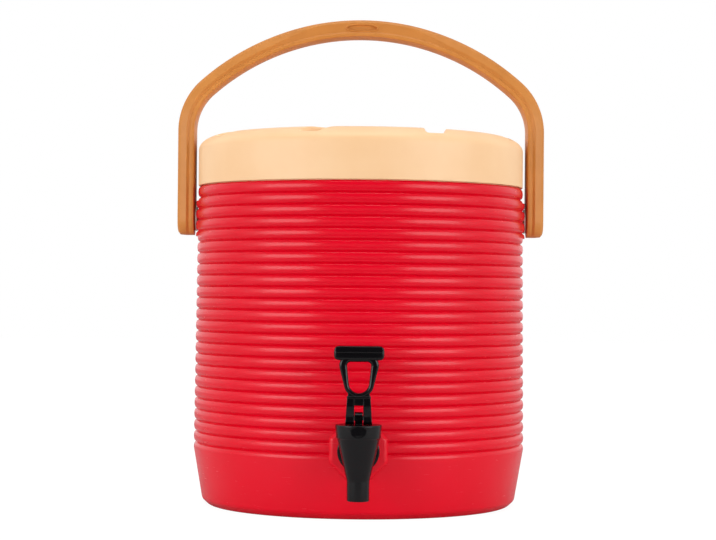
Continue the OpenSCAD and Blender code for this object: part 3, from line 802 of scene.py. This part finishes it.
skirt = rounded([(LID_IN_R, LID_Z, 0.6), (LID_R, LID_Z, 0.8), (LID_R, SKIRT_TOP, 0)])
shoulder = []
for k in range(SHOULDER_STEPS + 1):
    a = math.radians(90 * k / SHOULDER_STEPS)
    shoulder.append((LID_R - LID_CROWN * (1 - math.cos(a)), LID_TOP - LID_ROUND * (1 - math.sin(a))))
rim = [(LID_R - LID_CROWN - RIM_STEP * k, LID_TOP) for k in range(1, RIM_STEPS + 1)]
dish = rounded(
    [
        rim[-1] + (0,),
        (DISH_R, LID_TOP, DISH_ROUND),
        (DISH_R, DISH_Z, DISH_ROUND),
        (VENT_FLAT_R, DISH_Z, 0),
    ]
)
lid_section = skirt + shoulder + rim + dish[1:]
lid_section += [
    (VENT_R + RUN_GAP, DISH_Z),
    (VENT_R + RUN_GAP, CEILING_Z),
    (LID_R - 2 * LID_WALL, CEILING_Z),
    (LID_R - 2 * LID_WALL, LEDGE_Z),
    (LID_IN_R, LEDGE_Z),
]

# Lines along a groove, by their distance from its middle: floor, round sides and lip
grip_side = GRIP_W / 2 - GRIP_ROUND
grip_lines = [0, grip_side / 2]
grip_lines += [grip_side + GRIP_ROUND * math.sin(math.radians(a)) for a in (0, 25, 45, 60, 75, 90)]
grip_lines += [GRIP_W / 2 + GRIP_LIP * (k / GRIP_LIP_STEPS) ** 2 for k in range(1, GRIP_LIP_STEPS + 1)]
grip_lines = [-u for u in reversed(grip_lines[1:])] + grip_lines


def lid_ring(angle_at, drop):
    """The lid's section along one line across it, sunk by a groove's depth at its top."""
    ring = []
    for r, z in lid_section:
        a = angle_at(r)
        if drop:
            z = soft_min(z, LID_TOP - drop, min(GRIP_BLEND, drop))
        ring.append((r * math.cos(a), r * math.sin(a), z))
    return ring


def land_angle(r, start, share):
    """Angle on the land between two grooves, at a share of the way from one to the next."""
    first = grip_angle(r, grip_lines[-1])
    last = grip_angle(r, grip_lines[0]) + 2 * math.pi / GRIP_COUNT
    return start + first + (last - first) * share


lid_rings = []
for k in range(GRIP_COUNT):
    start = math.radians(GRIP_TURN - 90 + 360 * k / GRIP_COUNT)
    for across in grip_lines:
        lid_rings.append(lid_ring(lambda r: start + grip_angle(r, across), grip_drop(across)))
    for j in range(1, LAND_STEPS):
        lid_rings.append(lid_ring(lambda r: land_angle(r, start, j / LAND_STEPS), 0))


def thread_lug(start):
    """One helical lug inside the lid's skirt, sunk a little into the wall."""
    root, tip = LID_IN_R + THREAD_SINK, LID_IN_R - THREAD_REACH
    rings = []
    for k in range(THREAD_STEPS + 1):
        turn = THREAD_SPAN * k / THREAD_STEPS
        rise = THREAD_Z + THREAD_LEAD * turn / 360
        corners = [
            (root, rise + THREAD_ROOT_H),
            (tip, rise + THREAD_TIP_H),
            (tip, rise - THREAD_TIP_H),
            (root, rise - THREAD_ROOT_H),
        ]
        rings.append(turned(corners, math.radians(start + turn)))
    return skin(rings)


lugs = [thread_lug(360 * k / THREAD_STARTS) for k in range(THREAD_STARTS)]
lid = mesh_object("lid_cover_moulding", together(skin(lid_rings, loop=True), *lugs))
dress(lid, "beige_plastic", "lid", sharp=38, stands_for=["lid_cover"])

knob_section = rounded(
    [
        (0, VENT_LOW, 0),
        (VENT_TIP_R, VENT_LOW, 0.6),
        (VENT_STOP_R, VENT_STOP, 0.3),
        (VENT_R, VENT_STOP, 0),
        (VENT_R, VENT_HEAD_Z, 0),
        (KNOB_LOW_R, VENT_HEAD_Z, 0.8),
        (KNOB_TOP_R, VENT_TOP, 2),
        (KNOB_DISH_R, VENT_TOP, 1),
        (KNOB_DISH_LOW_R, KNOB_DISH_Z, 1),
        (0, KNOB_DISH_Z, 0),
    ]
)
knob_rings = []
for k in range(KNOB_SIDES):
    a = 2 * math.pi * k / KNOB_SIDES
    dip = FLUTE_DEPTH * (0.5 - 0.5 * math.cos(FLUTES * a)) ** 2
    fluted = [(r - dip if r > FLUTE_R and z > VENT_HEAD_Z else r, z) for r, z in knob_section]
    knob_rings.append(turned(fluted, a))
knob = mesh_object("vent_knob", skin(knob_rings, loop=True))
dress(knob, "beige_plastic", "vent", stands_for=["vent_plug"])


# Bail


def bail_half(arm):
    """Half section from the inner face's middle to the outer's: the full grip at 0, the ridged arm at 1."""
    half = BAIL_W / 2
    face = half - BEAD_H
    full = BAIL_T - BAIL_EDGE - GRIP_EDGE
    ridge = full + (BAIL_CREASE - full) * arm
    edge = face + (half - BAIL_BEVEL - face) * arm
    corners = [
        (0, 0, 0),
        (0, UNDER_W, 6),
        (UNDER_RISE, UNDER_OUT_W, 5),
        (BEAD_LOW, half, 1),
        (BEAD_HIGH, half - BEAD_DRAFT, 1),
        (BEAD_W, face, 0.9),
        (ridge, face + RIDGE_H * arm, 0.9),
        (BAIL_T - BAIL_EDGE, edge, 2),
        (BAIL_T, edge - BAIL_EDGE, 2.4),
        (BAIL_T, 0, 0),
    ]
    return rounded(corners, steps=5)


def bail_ring(centre_x, centre_z, radius, degrees, arm):
    """The bail's closed section on an arc about a centre."""
    half = bail_half(arm)
    whole = half + [(u, -w) for u, w in reversed(half[1:-1])]
    a = math.radians(degrees)
    inner = radius - BAIL_T
    return [(centre_x + (inner + u) * math.cos(a), w, centre_z + (inner + u) * math.sin(a)) for u, w in whole]


def arm_share(degrees):
    """Share of the ridge at an angle on the arch: none on the grip, all of it well before the bend."""
    share = (abs(degrees - 90) - GRIP_ANGLE) / (90 - GRIP_ANGLE - BEND_ANGLE)
    return min(1, max(0, share * RIDGE_RATE))


def end_reach(u, w, a):
    """Reach from the pivot at an angle round an arm's end, whose flat foot has a rounded outer corner."""
    if w == 0 or u < END_INNER:
        return w
    over = max(0, u - BAIL_T + END_CORNER_W) / END_CORNER_W
    low = BAIL_W / 2 - END_CORNER_H * (1 - math.sqrt(max(0, 1 - over * over)))
    return w + (max(w, low) - w) * math.sin(a) ** 2


def arm_end(side):
    """An arm's end: its half section turned about the pivot, from the front to the back."""
    rings = []
    for k in range(END_STEPS + 1):
        a = math.pi * k / END_STEPS
        ring = []
        for u, w in bail_half(1):
            reach = end_reach(u, w, a)
            ring.append((side * (BAIL_X + u), -reach * math.cos(a), PIVOT_Z - reach * math.sin(a)))
        rings.append(ring)
    return skin(rings, ends=False, closed=False)


def on_grip(x, z, deep):
    """A point at a depth behind the grip's front, which follows the arch."""
    return (x, deep + BEAD_H - BAIL_W / 2, DIMPLE_Z + z - x * x / (2 * ARCH_R))


bail_rings = [bail_ring(BEND_X, PIVOT_Z, BEND_R, 0, 1)]
for k in range(BEND_STEPS):
    bail_rings.append(bail_ring(BEND_X, BEND_Z, BEND_R, BEND_ANGLE * k / BEND_STEPS, 1))
for k in range(ARCH_STEPS + 1):
    along = BEND_ANGLE + (180 - 2 * BEND_ANGLE) * k / ARCH_STEPS
    bail_rings.append(bail_ring(0, ARCH_Z, ARCH_R, along, arm_share(along)))
for k in range(BEND_STEPS - 1, -1, -1):
    bail_rings.append(bail_ring(-BEND_X, BEND_Z, BEND_R, 180 - BEND_ANGLE * k / BEND_STEPS, 1))
bail_rings.append(bail_ring(-BEND_X, PIVOT_Z, BEND_R, 180, 1))
bail = mesh_object("bail_moulding", together(skin(bail_rings, ends=False), arm_end(1), arm_end(-1)))

head_seat = HEAD_X - HEAD_GAP - BAIL_X + BORE_OVER
bore_end = BAIL_T + 3 * BORE_OVER
bore = [
    (0, 0),
    (PIVOT_R + RUN_GAP, 0),
    (PIVOT_R + RUN_GAP, head_seat),
    (HEAD_R, head_seat),
    (HEAD_R, bore_end),
    (0, bore_end),
]
for side, _ in SIDES:
    bore_place = facing_side(side * (BAIL_X - BORE_OVER), 0, PIVOT_Z, side)
    cut(bail, placed(lathe(bore, BORE_SIDES), bore_place))

rim_rings = []
for k in range(DIMPLE_RIM_STEPS):
    a = 2 * math.pi * (k + 0.5) / DIMPLE_RIM_STEPS
    grow = DIMPLE_RIM * (1 + math.cos(a))
    deep = DIMPLE_RIM * math.sin(a) + DIMPLE_RIM_SINK
    outline = oval(DIMPLE_L + 2 * grow, DIMPLE_H + 2 * grow)
    rim_rings.append([on_grip(x, z, deep) for x, z in outline])
cut(bail, skin(rim_rings, loop=True), "UNION")
dimple_rings = []
for grow, deep in DIMPLE_LEVELS:
    outline = oval(DIMPLE_L + 2 * grow, DIMPLE_H + 2 * grow, DIMPLE_SIDES)
    dimple_rings.append([on_grip(x, z, deep) for x, z in outline])
cut(bail, skin(dimple_rings))
dress(bail, "brown_plastic", "bail", sharp=24, stands_for=["bail_handle"])

# Caps over the screws' heads, flush with the arms' outer faces
cap_section = rounded(
    [(0, 0, 0), (CAP_R, 0, 0), (CAP_R, CAP_RIM_T, 0.5), (CAP_R - CAP_RIM_W, CAP_T, 3), (0, CAP_T, 0)]
)
for side, hand in SIDES:
    cap_place = facing_side(side * (BAIL_X + BAIL_T - CAP_T), 0, PIVOT_Z, side)
    cap = mesh_object("pivot_cap_" + hand, placed(lathe(cap_section, CAP_SIDES), cap_place))
    dress(cap, "brown_plastic", "bail", sharp=24, stands_for=["pivot_caps"])


# Tap

tap_section = rounded(
    [
        (SPOUT_BORE_R, SPOUT_Z, 0.8),
        (SPOUT_LOW_R, SPOUT_Z, 0.8),
        (SPOUT_R, SPOUT_TOP_Z, 12),
        WAIST_LOW + (4,),
        WAIST_HIGH + (0.6,),
        (FUNNEL_R, TAP_TOP, 1.1),
        (BONNET_R, TAP_TOP, 0.4),
        (BONNET_R, BONNET_Z, 0),
        (SEAT_R, SEAT_Z, 0),
        (SPOUT_BORE_R, SEAT_Z, 0),
    ],
    steps=6,
)
tap = mesh_object("tap_funnel", placed(lathe(tap_section, TAP_SIDES), Matrix.Translation((0, -AXIS_Y, 0))))
eye_rings = []
for grow, deep in EYE_LEVELS:
    outline = oval(EYE_W + 2 * grow, EYE_H + 2 * grow)
    eye_rings.append([(x, deep - AXIS_Y - EYE_FACE_R, EYE_Z + z) for x, z in outline])
cut(tap, skin(eye_rings))
dress(tap, "black_plastic", "barrel", stands_for=["tap_body"])

# Shank, flange and neck in one turning, with a thread on the part behind the flange
shank_section = [(SHANK_BORE_R, SHANK_END_Y), (SHANK_TIP_R, SHANK_END_Y)]
for k in range(SHANK_TURNS):
    low = SHANK_THREAD_Y + SHANK_PITCH * k
    shank_section += [(r, low + along) for r, along in SHANK_THREAD]
shank_section += rounded(
    [
        (SHANK_R, FLANGE_Y - 1, 0),
        (SHANK_R, FLANGE_Y, 0),
        (FLANGE_R, FLANGE_Y, 0.6),
        (FLANGE_R, FLANGE_Y + FLANGE_T, 1.2),
        (NECK_R, FLANGE_Y + FLANGE_T, 2),
        (NECK_R, NECK_END_Y, 0),
        (SHANK_BORE_R, NECK_END_Y, 0),
    ]
)
shank = mesh_object("tap_shank", placed(lathe(shank_section, SHANK_SIDES), facing_front(0, 0, TAP_Z)))
dress(shank, "black_plastic", "barrel")


# Lever


def cam_point(degrees):
    """Point of the fork's foot, whose height grows evenly with the lever's tilt."""
    a = math.radians(degrees)
    rate = STEM_LIFT / math.radians(LEVER_TILT)
    reach = CAM_LOW + rate * a
    return (-reach * math.sin(a) - rate * math.cos(a), -reach * math.cos(a) + rate * math.sin(a))


def arc_points(x, y, radius, start, sweep, steps):
    """Points on an arc about a centre."""
    angles = [start + sweep * k / steps for k in range(steps + 1)]
    return [(x + radius * math.cos(a), y + radius * math.sin(a)) for a in angles]


def loop_outline(top_grow, low_grow):
    """Outline of the finger loop, wide above and round below, grown outwards by so much at each."""
    wide = LOOP_TOP_W / 2 - LOOP_TOP_R
    high = LOOP_Z + LOOP_H - LOOP_TOP_R
    low = LOOP_Z + LOOP_LOW_R
    top_r = LOOP_TOP_R + top_grow
    low_r = LOOP_LOW_R + low_grow
    run = math.hypot(wide, high - low)
    lean = math.atan2(wide, high - low) - math.asin((low_r - top_r) / run)
    corner = math.pi / 2 + lean
    out = arc_points(wide, high, top_r, -lean, corner, LOOP_STEPS)
    out += arc_points(-wide, high, top_r, math.pi / 2, corner, LOOP_STEPS)
    out += arc_points(0, low, low_r, math.pi + lean, math.pi - 2 * lean, 2 * LOOP_STEPS)
    return out


def flared(shape):
    """The fork's cheeks widen outwards towards their feet."""
    points, faces = shape
    slope = (FORK_LOW_W - FORK_W) / FORK_W / (FORK_TOP + 2 * CAM_LOW)
    out = []
    for x, y, z in points:
        share = max(0, (abs(x) - SLOT_W / 2) / ((FORK_W - SLOT_W) / 2))
        out.append((x * (1 + share * slope * (PIN_Z + FORK_TOP - z)), y, z))
    return out, faces


def on_lever(shape, z):
    """A flat shape that stands in the lever's plane at a height."""
    return placed(shape, facing_front(0, -AXIS_Y, z))


toe_y, toe_z = cam_point(LEVER_TILT)
cheek = [(FORK_BACK, -CAM_LOW, 0.6)]
cheek += [cam_point(LEVER_TILT * k / CAM_STEPS) + (0,) for k in range(CAM_STEPS + 1)]
cheek += [
    (toe_y + TOE_BACK, toe_z + TOE_H, 1.2),
    (-LEVER_T / 2, SLOT_H, 3),
    (-LEVER_T / 2, FORK_TOP, 0.8),
    (LEVER_T / 2, FORK_TOP, 0.8),
    (LEVER_T / 2, SLOT_H, 3),
    (FORK_BACK, CAM_LOW, 2),
]
cheek_t = (FORK_W - SLOT_W) / 2
cheek_plate = plate([rounded(cheek)], cheek_t, FORK_EDGE)
cheek_turn = Matrix.Rotation(math.radians(90), 4, "Z") @ Matrix.Rotation(math.radians(90), 4, "X")
finger_loop = plate([loop_outline(LOOP_BAR, LOOP_LOW_BAR), loop_outline(0, 0)], LEVER_T, LOOP_EDGE)
lever_shapes = [on_lever(finger_loop, PIN_Z)]
for side, _ in SIDES:
    stand = Matrix.Translation((side * (SLOT_W + cheek_t) / 2, -AXIS_Y, PIN_Z))
    lever_shapes.append(flared(placed(cheek_plate, stand @ cheek_turn)))

# Bridge between the cheeks and the loop, with a collar round it, then the bar and the lip along its top
bridge_h = FORK_TOP + LOOP_FOOT - SLOT_H
bridge = plate([box_outline(FORK_W - BRIDGE_INSET, bridge_h, 1)], LEVER_T - BRIDGE_SLIM, 0.6)
lever_shapes.append(on_lever(bridge, PIN_Z + SLOT_H + bridge_h / 2))
collar = plate([box_outline(FORK_W + COLLAR_WIDER, COLLAR_H, 1.2)], LEVER_T + COLLAR_THICKER, 1)
lever_shapes.append(on_lever(collar, PIN_Z + FORK_TOP - COLLAR_DROP))
bar_h = BAR_TOP_Z - BAR_LOW_Z
bar = plate([box_outline(BAR_W, bar_h, BAR_CORNER)], BAR_T - BAR_SLIM, BAR_EDGE)
lever_shapes.append(on_lever(bar, BAR_LOW_Z + bar_h / 2))
lip_h = BAR_TOP_Z - BAR_SPLIT_Z - LIP_GAP
lip = plate([box_outline(BAR_W - LIP_INSET, lip_h, LIP_CORNER)], BAR_T, LIP_EDGE)
lever_shapes.append(on_lever(lip, BAR_SPLIT_Z + lip_h / 2))
lever = mesh_object("lever_moulding", together(*lever_shapes))
dress(lever, "black_plastic", "lever", sharp=40, stands_for=["tap_lever"])


# Solids that show as they are

for subpart in frame["record"]["subparts"]:
    finish_mesh(nodes[subpart["node"]].data, subpart["material_slot"], sharp=30)


# Studio

BACKDROP = 1.0
ROOM = 0.01
ROOM_FRONT = -0.6
ROOM_BACK = 0.4
FLOOR_HALF = 6
TABLE_FRONT = 0.6
FLOOR_GLOW = 1.18
GLOW_SHARE = 0.8
PAPER = 0.55

scene = bpy.context.scene
scene.view_settings.view_transform = "Standard"


def seen_by_camera(tree):
    """1 where the camera looks at something, straight or through a clear piece, and 0 elsewhere."""
    path = add(tree, "ShaderNodeLightPath")
    either = add(
        tree,
        "ShaderNodeMath",
        {0: path.outputs["Is Camera Ray"], 1: path.outputs["Is Transmission Ray"]},
        operation="MAXIMUM",
    )
    return either.outputs["Value"]


# The studio is white behind the barrel and at its sides, and dark in front of it
world = bpy.data.worlds.new("white_studio")
scene.world = world
world.use_nodes = True
tree = world.node_tree
ways = add(tree, "ShaderNodeTexCoord")
way = add(tree, "ShaderNodeSeparateXYZ", {"Vector": ways.outputs["Generated"]})
room = add(
    tree,
    "ShaderNodeMapRange",
    {
        "Value": way.outputs["Y"],
        "From Min": ROOM_FRONT,
        "From Max": ROOM_BACK,
        "To Min": ROOM,
        "To Max": BACKDROP,
    },
)
level = add(
    tree,
    "ShaderNodeMix",
    {"Factor": seen_by_camera(tree), "A": room.outputs["Result"], "B": BACKDROP},
)
sky = tree.nodes["Background"]
sky.inputs["Color"].default_value = (1, 1, 1, 1)
tree.links.new(level.outputs["Result"], sky.inputs["Strength"])

# A white paper table, most of whose brightness is its own, so that it meets the backdrop unseen
floor_mesh = bpy.data.meshes.new("studio_floor")
floor_mesh.from_pydata(
    [
        (-FLOOR_HALF, -TABLE_FRONT, 0),
        (FLOOR_HALF, -TABLE_FRONT, 0),
        (FLOOR_HALF, FLOOR_HALF, 0),
        (-FLOOR_HALF, FLOOR_HALF, 0),
    ],
    [],
    [(0, 1, 2, 3)],
)
floor = bpy.data.objects.new("studio_floor", floor_mesh)
scene.collection.objects.link(floor)
paper, tree, shader, _ = start_material(
    "matte_white_paper", Roughness=0.9, Base_Color=(PAPER, PAPER, PAPER, 1)
)
share = add(tree, "ShaderNodeMath", {0: seen_by_camera(tree), 1: GLOW_SHARE}, operation="MULTIPLY")
glow = add(tree, "ShaderNodeEmission", {"Color": (1, 1, 1, 1), "Strength": FLOOR_GLOW})
both = add(
    tree,
    "ShaderNodeMixShader",
    {0: share.outputs["Value"], 1: shader.outputs["BSDF"], 2: glow.outputs["Emission"]},
)
tree.links.new(both.outputs["Shader"], tree.nodes["Material Output"].inputs["Surface"])
floor_mesh.materials.append(paper)

MIDDLE = (0, 0, 0.2)


def softbox(name, place, width, height, power, aim=MIDDLE, in_gloss=True):
    """A large soft lamp that faces a point."""
    lamp = bpy.data.lights.new(name, "AREA")
    lamp.shape = "RECTANGLE"
    lamp.size = width
    lamp.size_y = height
    lamp.energy = power
    holder = bpy.data.objects.new(name, lamp)
    holder.location = place
    holder.rotation_euler = (Vector(aim) - Vector(place)).to_track_quat("-Z", "Y").to_euler()
    holder.visible_glossy = in_gloss
    scene.collection.objects.link(holder)


# Large lamps at both sides of the camera, weak ones that edge the barrel's sides, and one above
softbox("softbox_left", (-1.6, -1.35, 0.5), 1.4, 0.9, 22.8)
softbox("softbox_right", (1.6, -1.35, 0.5), 1.4, 0.9, 22.2)
softbox("strip_left", (-2, -0.46, 0.5), 0.6, 0.9, 1.7)
softbox("strip_right", (2, -0.46, 0.5), 0.6, 0.9, 1.7)
softbox("softbox_top", (0, -0.35, 1.9), 1.1, 0.6, 10)
# Polarised fills by the camera and low in front, which light colours without showing in gloss
softbox("fill_front", (0, -2.4, 0.4), 1.6, 0.8, 5.5, in_gloss=False)
softbox("fill_low", (0, -1.5, 0.16), 1.6, 0.2, 1.6, aim=(0, 0, 0.3), in_gloss=False)

CAMERA_REACH = 1.863
CAMERA_HEIGHT = 0.1955
CAMERA_RISE = 0.0196
CAMERA_ASIDE = -0.0018
CAMERA_ROLL = 0.5
CAMERA_SENSOR = 36
CAMERA_LENS = 101.3
lens = bpy.data.cameras.new("camera")
lens.sensor_width = CAMERA_SENSOR
lens.lens = CAMERA_LENS
camera = bpy.data.objects.new("camera", lens)
camera.location = (0, -CAMERA_REACH, CAMERA_HEIGHT)
aim = Vector((CAMERA_ASIDE, 0, CAMERA_HEIGHT + CAMERA_RISE))
look = (aim - camera.location).to_track_quat("-Z", "Y").to_matrix().to_4x4()
look = look @ Matrix.Rotation(math.radians(CAMERA_ROLL), 4, "Z")
camera.matrix_world = Matrix.Translation(camera.location) @ look
scene.collection.objects.link(camera)
scene.camera = camera
